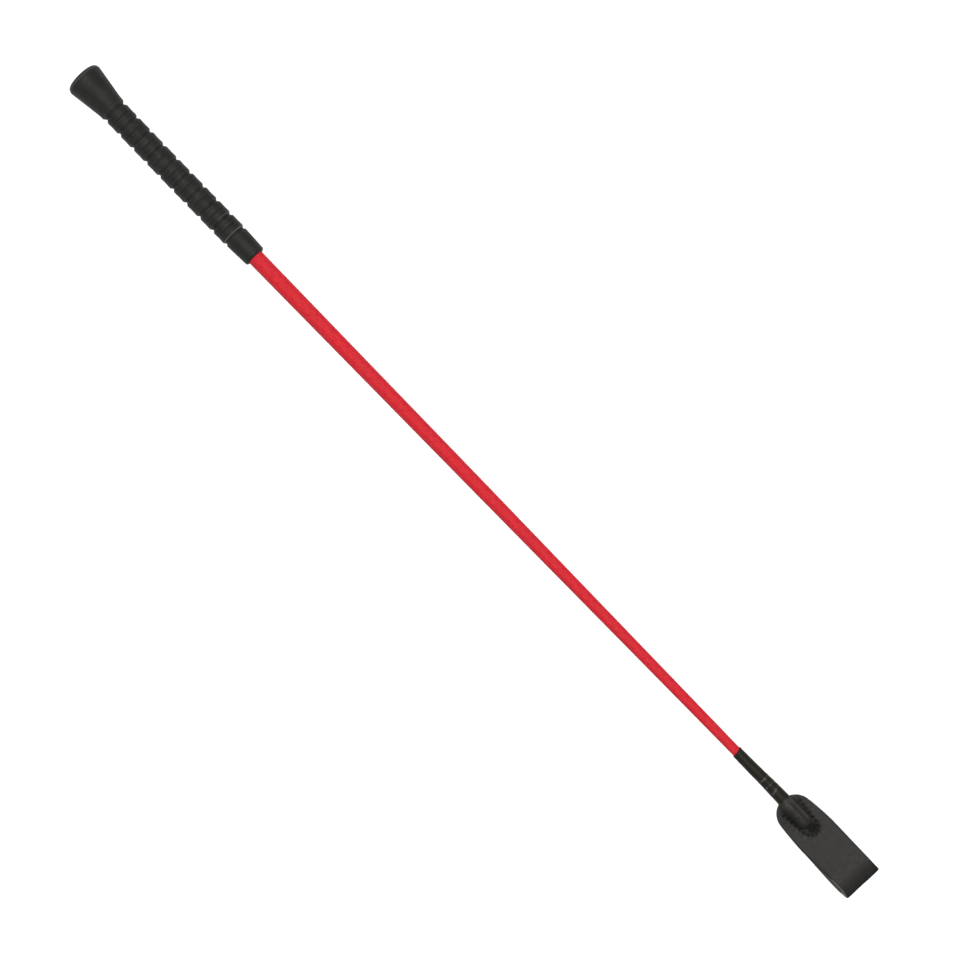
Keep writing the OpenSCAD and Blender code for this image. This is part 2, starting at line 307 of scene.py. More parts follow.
class Look:
    """A material being built. Its methods add nodes and return the output that a later one reads."""

    def __init__(self, name, colour, roughness, specular=0.5, on_cad=False):
        self.material = bpy.data.materials.new(name)
        self.material.use_nodes = True
        self.tree = self.material.node_tree
        self.shader = self.tree.nodes["Principled BSDF"]
        given = {"Base Color": colour, "Roughness": roughness, "Specular IOR Level": specular}
        self.feed(self.shader, given)
        if on_cad:
            place = self.add("TexCoord").outputs["Object"]
            self.place = self.vector("MULTIPLY", place, (1 / MM, 1 / MM, 1 / MM))
        else:
            self.place = self.add("Attribute", attribute_name="rest").outputs["Vector"]

    def add(self, kind, given=None, **settings):
        """A new node with these settings, and with what its sockets are given."""
        node = self.tree.nodes.new("ShaderNode" + kind)
        for key, value in settings.items():
            setattr(node, key, value)
        self.feed(node, given or {})
        return node

    def feed(self, node, given):
        """Links each socket to another node's output, or sets it to a plain value or colour."""
        for key, value in given.items():
            socket = node.inputs[key]
            if isinstance(value, bpy.types.NodeSocket):
                self.tree.links.new(value, socket)
            else:
                socket.default_value = (*value, 1) if socket.type == "RGBA" else value

    def vector(self, operation, a, b):
        return self.add("VectorMath", {0: a, 1: b}, operation=operation).outputs[0]

    def math(self, operation, a, b=0.0, clamp=False):
        return self.add("Math", {0: a, 1: b}, operation=operation, use_clamp=clamp).outputs[0]

    def times(self, a, b):
        return self.math("MULTIPLY", a, b)

    def plus(self, a, b, clamp=False):
        return self.math("ADD", a, b, clamp)

    def attribute(self, name):
        return self.add("Attribute", attribute_name=name).outputs["Fac"]

    def stretched(self, x, y, z):
        """The place on the piece with each axis scaled, to draw a pattern out along one of them."""
        return self.vector("MULTIPLY", self.place, (x, y, z))

    def wound(self):
        """Place round the shaft, from -0.5 to 0.5 of a turn, and place along it."""
        x, y, z = self.add("SeparateXYZ", {0: self.place}).outputs
        return self.math("DIVIDE", self.math("ARCTAN2", z, y), TURN), x

    def noise(self, scale, detail, place=None):
        given = {"Vector": place or self.place, "Scale": scale, "Detail": detail}
        return self.add("TexNoise", given).outputs[0]

    def cells(self, scale, feature="F1", place=None):
        given = {"Vector": place or self.place, "Scale": scale}
        return self.add("TexVoronoi", given, feature=feature).outputs["Distance"]

    def sine(self, value):
        """A wave from 0 to 1 that repeats each time the value goes up by one."""
        swing = self.math("SINE", self.times(value, TURN))
        return self.plus(self.times(swing, 0.5), 0.5)

    def span(self, value, low, high, to_low=0.0, to_high=1.0):
        """The value carried from one range to another, with soft ends."""
        given = {0: value, 1: low, 2: high, 3: to_low, 4: to_high}
        return self.add("MapRange", given, interpolation_type="SMOOTHSTEP").outputs[0]

    def mix(self, share, a, b):
        """A colour on the way from a to b. The node's sockets 6 and 7 take the two."""
        return self.add("Mix", {0: share, 6: a, 7: b}, data_type="RGBA").outputs[2]

    def bump(self, height, depth, under=None):
        """A relief of that depth in metres, over the relief under it."""
        given = {"Strength": 1.0, "Distance": depth, "Height": height}
        if under:
            given["Normal"] = under
        return self.add("Bump", given).outputs[0]

    def done(self, colour, roughness, normal):
        self.feed(self.shader, {"Base Color": colour, "Roughness": roughness, "Normal": normal})
        return self.material


def rubber_look():
    """Moulded rubber: a matt, uneven black, rubbed on its edges, with dust and painted light at the front and
    back of its grooves, painted shade at their sides, and a painted highlight on its flash.
    """
    look = Look("moulded_rubber", (0.02, 0.02, 0.02), 0.6, specular=0.17)
    wear_and_highlight, painted_groove_light_and_shade, flash_and_highlight = map(look.attribute, ("wear_and_highlight", "painted_groove_light_and_shade", "flash_and_highlight"))
    patches = look.span(look.noise(0.12, 4), 0.35, 0.7)
    colour = look.mix(patches, (0.0103, 0.0100, 0.0093), (0.0150, 0.0145, 0.0135))
    rubbed_and_highlit = look.times(wear_and_highlight, look.span(look.noise(0.5, 4), 0.3, 0.7))
    colour = look.mix(rubbed_and_highlit, colour, (0.025, 0.0243, 0.0228))
    # Painted light and shade in the grooves: lighter at their front and back, partly as dust, and darker at
    # their sides, where shade falls
    dust_and_painted_light, painted_groove_shade = (look.math("MULTIPLY", painted_groove_light_and_shade, share, clamp=True) for share in (0.6, -1.0))
    colour = look.mix(dust_and_painted_light, colour, (0.0190, 0.0182, 0.0168))
    colour = look.mix(painted_groove_shade, colour, (0.0040, 0.0038, 0.0036))
    # Painted highlight: a light grey line along the flash, standing in for its glint
    colour = look.mix(flash_and_highlight, colour, (0.13, 0.126, 0.116))
    uneven = look.span(look.noise(0.8, 3), 0.2, 0.8, 0.52, 0.68)
    rough = look.math("SUBTRACT", uneven, look.times(rubbed_and_highlit, 0.12))
    normal = look.bump(look.noise(0.9, 3), 0.05 * MM)
    normal = look.bump(look.cells(2.6, "SMOOTH_F1"), 0.035 * MM, normal)
    normal = look.bump(look.noise(9.0, 2), 0.008 * MM, normal)
    return look.done(colour, rough, normal)


def paper_tape_look():
    """Creped paper tape, wound on with a slight overlap."""
    look = Look("paper_tape", (0.6, 0.52, 0.36), 0.8, on_cad=True)
    turn, x = look.wound()
    lap = look.math("FRACT", look.plus(look.math("DIVIDE", x, 22.0), turn))
    edge = look.span(lap, 0.0, 0.03, 1.0, 0.0)
    crepe = look.noise(1.0, 3, look.stretched(2.4, 0.5, 0.5))
    colour = look.mix(crepe, (0.50, 0.41, 0.26), (0.66, 0.57, 0.40))
    colour = look.mix(look.times(edge, 0.6), colour, (0.30, 0.23, 0.14))
    rough = look.span(crepe, 0.2, 0.8, 0.7, 0.9)
    normal = look.bump(crepe, 0.08 * MM)
    normal = look.bump(edge, 0.1 * MM, normal)
    return look.done(colour, rough, normal)


def thread_look(name, dark, light, pitch, roughness):
    """Twisted thread, its plies slanting across it, with a wax sheen that comes and goes."""
    look = Look(name, light, roughness, specular=0.25)
    turn, x = look.wound()
    plies = look.sine(look.plus(look.times(turn, pitch), look.times(x, 1.7)))
    fuzz = look.noise(3.0, 4)
    colour = look.mix(look.times(plies, fuzz), dark, light)
    rough = look.span(look.noise(0.6, 3), 0.3, 0.7, roughness - 0.1, roughness + 0.12)
    normal = look.bump(plies, 0.04 * MM)
    normal = look.bump(fuzz, 0.02 * MM, normal)
    return look.done(colour, rough, normal)


def glass_fibre_look():
    """Ground glass fibre: pale resin over fibres that run along the rod."""
    look = Look("glass_fibre", (0.68, 0.66, 0.5), 0.35)
    fibres = look.noise(1.0, 4, look.stretched(0.05, 5.0, 5.0))
    clouds = look.noise(0.08, 3)
    colour = look.mix(fibres, (0.56, 0.53, 0.38), (0.78, 0.76, 0.62))
    colour = look.mix(look.times(clouds, 0.4), colour, (0.50, 0.44, 0.26))
    rough = look.span(fibres, 0.3, 0.7, 0.28, 0.5)
    return look.done(colour, rough, look.bump(fibres, 0.02 * MM))


def yarn_look():
    """Loose filler yarn: off-white ends that run along the rod, with fluff between them."""
    look = Look("filler_yarn", (0.62, 0.59, 0.5), 0.9)
    turn, x = look.wound()
    ends = look.sine(look.plus(look.times(turn, 24.0), look.times(x, 0.05)))
    fluff = look.noise(1.6, 5, look.stretched(0.4, 1.0, 1.0))
    colour = look.mix(ends, (0.38, 0.35, 0.28), (0.66, 0.63, 0.55))
    colour = look.mix(look.times(fluff, 0.4), colour, (0.72, 0.70, 0.63))
    rough = look.span(fluff, 0.2, 0.8, 0.82, 0.98)
    normal = look.bump(ends, 0.12 * MM)
    return look.done(colour, rough, look.bump(fluff, 0.05 * MM, normal))


def braid_look():
    """Red nylon braid: each strand has its own tone, fine filaments along it, and painted shade at its edges.
    """
    look = Look("red_nylon_braid", (0.5, 0.02, 0.03), 0.6, specular=0.15)
    weave = look.add("UVMap", uv_map="weave").outputs[0]
    a, b, _ = look.add("SeparateXYZ", {0: weave}).outputs
    strand_a, strand_b = look.math("FLOOR", a), look.math("FLOOR", b)
    count = look.math("FLOORED_MODULO", look.plus(strand_a, strand_b), 4.0)
    over = look.math("LESS_THAN", count, 1.5)
    under = look.math("SUBTRACT", 1.0, over)

    def chosen(one, other):
        return look.plus(look.times(over, one), look.times(under, other))

    across = chosen(look.math("FRACT", a), look.math("FRACT", b))
    one = look.math("FLOORED_MODULO", strand_a, STRANDS)
    other = look.math("FLOORED_MODULO", strand_b, STRANDS)
    number = chosen(one, look.plus(other, 20.0))
    shade = look.add("TexWhiteNoise", {"W": number}, noise_dimensions="1D").outputs[0]
    crest = look.math("SINE", look.times(across, math.pi))
    filaments = look.sine(look.times(across, 5.0))
    colour = look.mix(shade, (0.49, 0.011, 0.020), (0.58, 0.018, 0.028))
    # Painted shade at each strand's edges, where it dips under its neighbours
    colour = look.mix(look.span(crest, 0.0, 0.55, 0.6, 0.0), colour, (0.20, 0.004, 0.010))
    soiled = look.span(look.noise(0.05, 5), 0.55, 0.8, 0.0, 0.25)
    colour = look.mix(soiled, colour, (0.34, 0.018, 0.022))
    rough = look.span(look.noise(0.9, 3), 0.25, 0.75, 0.45, 0.65)
    normal = look.bump(filaments, 0.02 * MM)
    normal = look.bump(look.noise(6.0, 2), 0.02 * MM, normal)
    return look.done(colour, rough, normal)


def cloth_tape_look():
    """Black-grey cloth tape, wound up in turns: a plain weave with an edge at each turn."""
    look = Look("cloth_tape", (0.08, 0.078, 0.07), 0.85, on_cad=True)
    turn, x = look.wound()
    warp = look.sine(look.times(turn, 60.0))
    weft = look.sine(look.times(x, 2.2))
    weave = look.times(warp, weft)
    lap = look.math("FRACT", look.plus(look.math("DIVIDE", x, 9.0), turn))
    edge = look.span(lap, 0.0, 0.05, 1.0, 0.0)
    colour = look.mix(weave, (0.045, 0.043, 0.04), (0.11, 0.105, 0.095))
    colour = look.mix(edge, colour, (0.02, 0.019, 0.018))
    rough = look.span(look.noise(0.7, 3), 0.3, 0.7, 0.78, 0.95)
    normal = look.bump(weave, 0.06 * MM)
    return look.done(colour, rough, look.bump(edge, 0.1 * MM, normal))


def sleeve_look():
    """Satin black sleeve: drawn lines along it, and faint rings from what is wound under it."""
    look = Look("satin_sleeve", (0.013, 0.011, 0.006), 0.5, specular=0.1)
    rings = look.noise(1.0, 3, look.stretched(1.6, 0.12, 0.12))
    scuffs = look.span(look.noise(1.0, 5, look.stretched(0.5, 1.2, 1.2)), 0.56, 0.72)
    drawn = look.span(look.noise(1.0, 4, look.stretched(0.12, 1.3, 1.3)), 0.3, 0.7)
    colour = look.mix(drawn, (0.0072, 0.0064, 0.0038), (0.0160, 0.0142, 0.0096))
    colour = look.mix(look.times(rings, 0.4), colour, (0.0105, 0.0097, 0.0070))
    colour = look.mix(look.times(scuffs, 0.35), colour, (0.030, 0.028, 0.022))
    rough = look.span(look.noise(0.6, 4), 0.3, 0.7, 0.42, 0.56)
    normal = look.bump(rings, 0.04 * MM)
    normal = look.bump(drawn, 0.05 * MM, normal)
    return look.done(colour, rough, look.bump(look.noise(3.0, 3), 0.012 * MM, normal))


def lacquer_look():
    """Black thread under uneven lacquer, with painted grey glints at the front and at the back."""
    look = Look("lacquered_thread", (0.02, 0.019, 0.017), 0.3, specular=0.2)
    pools = look.noise(0.5, 3)
    turn, _ = look.wound()
    # Painted highlight: grey glints on the bands' front and back, broken up by streaks
    off_face = look.math("ABSOLUTE", look.math("SUBTRACT", look.math("ABSOLUTE", turn), 0.26))
    streaks = look.noise(1.0, 3, look.stretched(2.6, 0.6, 0.6))
    glint_breaks = look.span(streaks, 0.4, 0.7)
    rubbed_and_highlit = look.times(look.span(off_face, 0.04, 0.14, 1.0, 0.0), glint_breaks)
    colour = look.mix(pools, (0.0095, 0.0088, 0.0068), (0.0160, 0.0148, 0.0120))
    colour = look.mix(rubbed_and_highlit, colour, (0.110, 0.107, 0.096))
    rough = look.span(pools, 0.3, 0.7, 0.28, 0.45)
    return look.done(colour, rough, look.bump(look.noise(2.4, 2), 0.03 * MM))


def leather_look():
    """Black leather: a fine grain on the outside, and a grey, fibrous flesh side and cut edge, with painted
    highlights on its worn tops, ridges and bare edges, and painted shade where it is marked dark.
    """
    look = Look("black_leather", (0.02, 0.019, 0.018), 0.5, specular=0.18)
    flesh, bare_edge_and_highlight, wear_and_highlight, dark = map(look.attribute, ("flesh", "bare_edge_and_highlight", "wear_and_highlight", "dark"))
    grain = look.cells(2.2, "DISTANCE_TO_EDGE", look.vector("ADD", look.place, (3.0, 1.0, 2.0)))
    creases = look.span(grain, 0.0, 0.2)
    pores = look.span(look.cells(3.1), 0.05, 0.2)
    clouds = look.noise(0.18, 4)
    colour = look.mix(clouds, (0.0138, 0.0129, 0.0117), (0.0203, 0.0190, 0.0172))
    # Wear, and painted highlight on the flap's tops and ridges
    rubbed_and_highlit = look.times(wear_and_highlight, look.span(look.noise(0.7, 4), 0.3, 0.7))
    colour = look.mix(rubbed_and_highlit, colour, (0.042, 0.040, 0.037))
    # Painted shade, where the flap is marked dark
    colour = look.mix(dark, colour, (0.0028, 0.0026, 0.0025))
    fibres = look.noise(2.2, 5)
    raw = look.mix(fibres, (0.030, 0.029, 0.024), (0.075, 0.072, 0.062))
    colour = look.mix(flesh, colour, raw)
    # Bare edge and painted highlight, in a light grey
    colour = look.mix(bare_edge_and_highlight, colour, (0.20, 0.19, 0.17))
    smooth = look.span(look.noise(0.5, 4), 0.3, 0.7, 0.42, 0.56)
    matt = look.math("MAXIMUM", look.times(flesh, 0.35), look.times(dark, 0.3))
    rough = look.plus(smooth, matt, clamp=True)
    normal = look.bump(creases, 0.022 * MM)
    normal = look.bump(pores, 0.012 * MM, normal)
    normal = look.bump(look.noise(0.35, 3), 0.10 * MM, normal)
    normal = look.bump(look.times(fibres, flesh), 0.12 * MM, normal)
    return look.done(colour, rough, normal)


# ---- grip


def from_nearest(x, start, last):
    """Distance from the nearest of the places a groove's pitch apart, from start to the one numbered last."""
    number = np.clip(np.round((x - start) / GROOVE_PITCH), 0, last)
    return np.abs(x - start - number * GROOVE_PITCH)


def cross_floor(angle):
    """Radius of a cross groove's floor: a circle round an axis set off to the other side of the grip."""
    set_off = CROSS_DEPTH / (1 - math.cos(CROSS_ANGLE))
    floor_r = RIB_R + set_off * math.cos(CROSS_ANGLE)
    lean = np.abs(np.sin(angle))
    return np.sqrt(np.maximum(floor_r**2 - set_off**2 * (1 - lean**2), 0)) - set_off * lean


def grip_radius(x, angle):
    """Radius of the grip's skin at x along it and an angle round it from +Y."""
    uneven, waist = 0.03 * MM, 0.12 * MM
    flare = soft_min(FLARE_R, FLARE_R - (x - SHOULDER_X) * math.tan(FLARE_ANGLE), 0.13 * MM)
    mouth = np.interp(x, [LAST_GROOVE, GRIP_L], [MOUTH_ROOT_R, MOUTH_R])
    body = np.where(x < GROOVE_START, COLLAR_R, np.where(x > LAST_GROOVE, mouth, RIB_R))
    skin = soft_max(flare, body, 0.27 * MM) + uneven * wobble(3, 5, x / (7 * MM), 2 * np.sin(angle))
    ribbed = (x > GROOVE_START) & (x < LAST_GROOVE)
    skin = skin - np.where(ribbed, waist * np.sin(math.pi * (x - GROOVE_START) / GROOVE_PITCH) ** 6, 0)
    off = from_nearest(x, GROOVE_START, GROOVE_COUNT - 1)
    flank = (GROOVE_W - GROOVE_FLOOR_W) / 2 / GROOVE_DEPTH
    climb = soft_max((off - GROOVE_FLOOR_W / 2) / flank, 0 * off, 0.25 * MM)
    depth = GROOVE_DEPTH * (1 - GROOVE_FADE * np.sin(angle) ** 6)
    skin = soft_min(skin, RIB_R - depth + climb, 0.35 * MM)
    off = from_nearest(x, GROOVE_START + GROOVE_PITCH / 2, GROOVE_COUNT - 2)
    steepness, floor_half = 1.3, 0.25 * MM
    cross = cross_floor(angle) + steepness * soft_max(off - floor_half, 0 * off, 0.2 * MM)
    return soft_min(skin, cross, 0.18 * MM)


def grip_seams(x, angle):
    """Height of the mould's parting lines, at +Y and -Y, and of the flash on two of the groove edges, which
    also masks a painted highlight on that flash.
    """
    parting = 0.10 * MM * hump(np.sin(angle), 0, 0.022) * (x > BUTT_EDGE_R)
    edge = GROOVE_W / 2 - 0.35 * MM
    last = hump(x, LAST_GROOVE - edge, 0.17 * MM)
    before = hump(x, LAST_GROOVE - GROOVE_PITCH - edge, 0.15 * MM)
    before = before * smoothstep(np.cos(angle) * 4 + 0.5)
    flash_and_highlight = last * (0.85 + 0.15 * wobble(5, 4, 3 * angle, x / MM)) + 0.6 * before
    return parting, np.clip(flash_and_highlight, 0, 1)


def off_centre(x):
    """The moulding leans a little to +Y of its bore, most at the butt."""
    return 0.12 * MM + 0.68 * MM * np.exp(-((x / (45 * MM)) ** 1.6))


def grip_stations():
    """Places along the grip's side, closer together at each groove."""
    grooves = GROOVE_START + np.arange(GROOVE_COUNT) * GROOVE_PITCH
    body = stations(BUTT_EDGE_R + 0.4 * MM, GRIP_L - LIP_R, 0.8 * MM, grooves, 2.3 * MM, 0.17 * MM)
    crosses = grooves[:-1] + GROOVE_PITCH / 2
    extra = stations(body[0], body[-1], 20 * MM, crosses, 1.2 * MM, 0.2 * MM)
    body = np.unique(np.concatenate([body, extra]))
    return body[np.append(True, np.diff(body) > 0.06 * MM)]


def make_grip():
    """The grip's skin from the middle of the butt face to the mouth, and back down its bore."""
    seams = np.array([0, math.pi])
    angles = [columns_round(128)] + [seams + d for d in (-0.035, -0.015, 0.015, 0.035)]
    angles = np.unique(np.concatenate(angles) % TURN)
    x, angle = np.meshgrid(grip_stations(), angles, indexing="ij")
    skin = grip_radius(x, angle)
    parting, flash_and_highlight = grip_seams(x, angle)
    side = lathe(x, skin + 0.08 * MM + parting + 0.14 * MM * flash_and_highlight, angle)
    side[..., 1] += off_centre(x)

    edge_rows = 9
    face_r = FLARE_R - BUTT_EDGE_R
    face = [[0.25 * MM, 0.3 * MM], [0.25 * MM, GATE_R * 0.8], [0.1 * MM, GATE_R], [0, GATE_R * 1.2]]
    face += [[0, GATE_R + (face_r - GATE_R) * s] for s in (0.25, 0.5, 0.75)]
    butt = np.concatenate([face, arc((BUTT_EDGE_R, face_r), BUTT_EDGE_R, 180, 90, edge_rows)])
    lip = arc((GRIP_L - LIP_R, MOUTH_R - LIP_R), LIP_R, 90, 0, 9)[1:]
    inside = [
        [GRIP_L, BORE_R + 0.15 * MM], [GRIP_L - 0.15 * MM, BORE_R],
        [GRIP_L / 2, BORE_R], [WIDE_BORE_END, BORE_R],
        [WIDE_BORE_END, WIDE_BORE_R], [END_WALL, WIDE_BORE_R], [END_WALL, WIDE_BORE_R / 2],
    ]
    before = lathe(butt[:, 0], butt[:, 1], angles)
    before[..., 1] += off_centre(0)
    after = np.concatenate([lip, inside])
    after = lathe(after[:, 0], after[:, 1], angles)
    grid = np.concatenate([before, side, after])

    reach, sharpest = 0.6 * MM, 0.22 * MM
    bend = skin - (grip_radius(x - reach, angle) + grip_radius(x + reach, angle)) / 2
    wear_and_highlight, painted_groove_light_and_shade, light = (np.zeros(grid.shape[:2]) for _ in range(3))
    first = len(before)
    shown = slice(first, first + len(side))
    wear_and_highlight[shown] = np.clip(bend / sharpest, 0, 1)
    # Above zero it is dust and painted light, at the front and the back of a groove, and below zero it is
    # painted shade, at its sides
    painted_groove_light_and_shade[shown] = np.clip(-bend / sharpest, 0, 1) * (1.6 * np.sin(angle) ** 8 - 0.6)
    light[shown] = flash_and_highlight
    wear_and_highlight[first - edge_rows : first] = 0.6
    # Painted highlight: a faint light line just inside the butt's rim, through the same mask as the flash
    light[first - 3 : first] = 0.2

    piece = closed_lathe("grip_moulding", grid, rubber_look(), sharp=60)
    for name, values in (("wear_and_highlight", wear_and_highlight), ("painted_groove_light_and_shade", painted_groove_light_and_shade), ("flash_and_highlight", light)):
        mark(piece, name, np.append(values.ravel(), [0, 0]))
    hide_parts("rubber_grip")
    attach(piece, "handle")


# ---- shaft


def bend_with_shaft(piece):
    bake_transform(piece)


def make_rod():
    """Tapered glass-fibre rod, with ground ends."""
    low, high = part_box("core_rod")
    radius_at = cad_profile("core_rod")
    chamfer = 0.4 * MM
    x = np.concatenate([[low.x, low.x + chamfer], np.arange(low.x + 3 * MM, high.x - 2 * MM, 3 * MM)])
    x = np.append(x, [high.x - chamfer, high.x])
    angles = columns_round(32)
    grid = lathe(x, radius_at(x), angles)
    piece = closed_lathe("glass_rod", grid, glass_fibre_look(), sharp=40)
    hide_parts("core_rod")
    bend_with_shaft(piece)


def make_yarn():
    """Filler yarn round the rod: slightly twisted ends that swell under the braid."""
    low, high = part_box("under_braid")
    outer, rod = cad_profile("under_braid"), cad_profile("core_rod")
    angles = columns_round(96)
    x = np.linspace(low.x, high.x, 196)
    ends = np.abs(np.sin(12 * angles + x[:, None] / (18 * MM)))
    skin = lathe(x, outer(x)[:, None] - 0.16 * MM * (1 - ends), angles)
    back = x[::-4]
    hole = lathe(back, rod(back) + 0.01 * MM, angles)
    grid = np.concatenate([skin, hole])
    faces = tube_faces(len(grid), len(angles), loop=True)
    piece = new_piece("yarn_filling", grid, faces, yarn_look(), sharp=60)
    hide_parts("under_braid")
    bend_with_shaft(piece)


def float_height(a, b):
    """Height, from 0 to 1, of a braid in which each strand goes over two and under two.

    a and b count the strands of the two directions, so whole numbers are the edges of strands."""
    strand_a, strand_b = np.floor(a), np.floor(b)
    count = (strand_a + strand_b) % 4
    over = count < 2
    across = np.where(over, a - strand_a, b - strand_b)
    along = np.where(over, b - strand_b + count, a - strand_a + count - 2) / 2
    return np.sin(math.pi * across) ** 0.6 * np.sin(math.pi * along) ** 0.35


def braid_triangles(rows, columns, first_number):
    """Triangles between rows of the braid's grid, cut along the strands' edges, as rows and columns."""
    r, c = (part.ravel() for part in np.mgrid[0 : rows - 1, 0:columns])
    number = r + first_number
    on_b_edge = (c - number) % PER_STRAND == 0
    on_a_edge = (c + number + 1) % PER_STRAND == 0
    a_over = ((c + number + 1) // PER_STRAND + (c - number) // PER_STRAND) % 4 < 2
    rising = on_b_edge | (~on_a_edge & ~a_over)
    corner = [np.stack(place, -1) for place in ((r, c), (r, c + 1), (r + 1, c + 1), (r + 1, c))]
    halves = [
        np.stack([corner[i] for i in three], 1)[chosen]
        for three, chosen in (
            ((0, 1, 2), rising), ((0, 2, 3), rising), ((0, 1, 3), ~rising), ((1, 2, 3), ~rising),
        )
    ]
    return np.concatenate(halves)


def make_braid():
    """A tube of red braid with every strand raised. Its ends are plain, as the grip and sleeve hide them."""
    low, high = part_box("braid_cover")
    radius_at = cad_profile("braid_cover")
    columns = STRANDS * PER_STRAND
    step = LAY_L / columns
    show_from, show_to = GRIP_L - 5 * MM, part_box("tip_sleeve")[0].x + 4 * MM
    shown = np.arange(show_from, show_to, step)
    hidden = 24
    x = np.concatenate([
        np.linspace(low.x, show_from, hidden)[:-1], shown, np.linspace(shown[-1], high.x, 12)[1:],
    ])
    number = np.arange(len(x)) - hidden + 1
    c = np.arange(columns + 1)
    a = (c + number[:, None]) / PER_STRAND
    b = (c - number[:, None]) / PER_STRAND
    nudges = [(i, j) for i in (-0.02, 0.02) for j in (-0.02, 0.02)]
    height = np.minimum.reduce([float_height(a + i, b + j) for i, j in nudges])
    raised = (number >= 0) & (number < len(shown))
    uneven = 0.015 * MM * wobble(11, 6, a * 2.3, b * 1.7)
    relief = np.where(raised[:, None], CREST - RELIEF * (1 - height) + uneven, -0.04 * MM)
    angles = c[:-1] * TURN / columns
    skin = lathe(x, radius_at(x)[:, None] + relief[:, :-1], angles)
    back = np.linspace(high.x, low.x, 70)
    lining = lathe(back, radius_at(back) - BRAID_T, angles)

    corners = braid_triangles(len(x), columns, number[0])
    outer_faces = (corners[..., 0] * columns + corners[..., 1] % columns).tolist()
    starts = (np.arange(len(back)) + len(x)) * columns
    starts = np.concatenate([[(len(x) - 1) * columns], starts, [0]])
    points = np.concatenate([skin, lining])
    piece = new_piece("red_braid", points, outer_faces + ring_faces(starts, columns), braid_look())
    weave = piece.data.uv_layers.new(name="weave")
    uv = np.zeros((len(piece.data.loops), 2), np.float32)
    row, column = corners.reshape(-1, 2).T
    uv[: len(row), 0] = (column + number[row]) / PER_STRAND
    uv[: len(row), 1] = (column - number[row]) / PER_STRAND
    weave.data.foreach_set("uv", uv.ravel())
    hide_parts("braid_cover")
    bend_with_shaft(piece)


def make_bindings():
    """The thread wound round each end of the braid."""
    thread = thread_look("waxed_thread", (0.012, 0.012, 0.013), (0.04, 0.04, 0.042), 90.0, 0.5)
    for name, node, body, inner, thread_d in (
        ("butt_binding", "butt_whipping", "handle", lambda x: WIDE_BORE_R - 0.45 * MM, 0.45 * MM),
        ("tip_binding", "tip_whipping", "shaft", cad_profile("braid_cover"), 0.2 * MM),
    ):
        low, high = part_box(node)
        piece = coil(name, low.x, high.x, inner, thread_d, thread)
        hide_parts(node)
        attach(piece, body)


# ---- tip


def sleeve_lean(x):
    """How far the sleeve and its bands lie to +Y of the axis, towards the flap."""
    return 0.2 * MM * smoothstep((x - 556 * MM) / (12 * MM))


def make_sleeve():
    """Satin sleeve drawn tight over the binding and the tape."""
    low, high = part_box("tip_sleeve")
    outer = cad_profile("tip_sleeve")
    wall, edge = 0.35 * MM, 0.16 * MM
    angles = columns_round(72)
    start = low.x - SLEEVE_EARLY
    x = np.arange(start + edge, high.x, 0.25 * MM)
    bound_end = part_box("tip_whipping")[1].x
    turns = 0.03 * MM * np.cos(TURN * (x - low.x) / (0.9 * MM)) * smoothstep((bound_end - x) / (2 * MM))
    x_grid, angle = np.meshgrid(x, angles, indexing="ij")
    ripple = 0.04 * MM * wobble(21, 6, x_grid / (2.4 * MM), 1.5 * np.sin(angle), 1.5 * np.cos(angle))
    skin = lathe(x_grid, outer(x_grid) + 0.1 * MM + turns[:, None] + ripple, angle)
    skin[..., 1] += sleeve_lean(x_grid)
    first_r = outer(low.x)
    cut_x = [start, start, start + 0.04 * MM]
    cut = lathe(cut_x, [first_r - wall, first_r - edge, first_r - 0.04 * MM], angles)
    for part in (cut, skin):
        part[..., 0] -= SLEEVE_SLANT * part[..., 1] * smoothstep((start + 4 * MM - part[..., 0]) / (4 * MM))
    back = np.linspace(high.x, start, 12)[:-1]
    hole = lathe(back, outer(back) - wall, angles)
    grid = np.concatenate([cut, skin, hole])
    faces = tube_faces(len(grid), len(angles), loop=True)
    piece = new_piece("satin_sleeve", grid, faces, sleeve_look(), sharp=60)
    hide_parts("tip_sleeve")
    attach(piece, "shaft")


def make_bands():
    """Three lacquered bands, each of three turns of thread. The two nearer the flap are at a slant."""
    sleeve_at = cad_profile("tip_sleeve")
    lacquer = lacquer_look()
    angles = columns_round(72)
    turns = 3
    for name, slant in (("band_rear", 0.0), ("band_middle", 5.0), ("band_front", 15.0)):
        node = "sleeve_" + name
        low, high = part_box(node)
        share = np.linspace(0, 1, turns * 8 + 1)
        thread = np.abs(np.sin(math.pi * turns * share)) ** 0.7
        height = 0.08 * MM + 0.17 * MM * thread * (0.6 + 0.4 * np.sin(math.pi * share))
        x = low.x + share * (high.x - low.x)
        x = np.append(x, x[::-8])
        height = np.append(height, np.full(turns + 1, -0.05 * MM))
        x = x[:, None] - math.tan(math.radians(slant)) * high.z * np.cos(angles)
        ring = lathe(x, sleeve_at(x) + height[:, None], angles)
        ring[..., 1] += sleeve_lean(x)
        piece = new_piece(name, ring, tube_faces(len(ring), len(angles), loop=True), lacquer)
        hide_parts(node)
        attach(piece, "shaft")


# ---- flap


def seam_spread(x):
    """How much wider the U of stitches is at x than its turn: its legs spread towards the shaft."""
    return SEAM_SHARE + SEAM_SPREAD * (SEAM_X - x)


def seam_place(x, y):
    """Distance from the U-shaped line of stitches, outwards, and the place along that line."""
    y = y / seam_spread(x)
    turned_x = x - STITCH_TURN_X
    on_leg = turned_x < 0
    off = np.where(on_leg, np.abs(y), np.hypot(turned_x, y)) - STITCH_HALF_W
    angle = np.arctan2(turned_x, np.abs(y))
    along = np.where(on_leg, turned_x, STITCH_HALF_W * angle)
    return off, along


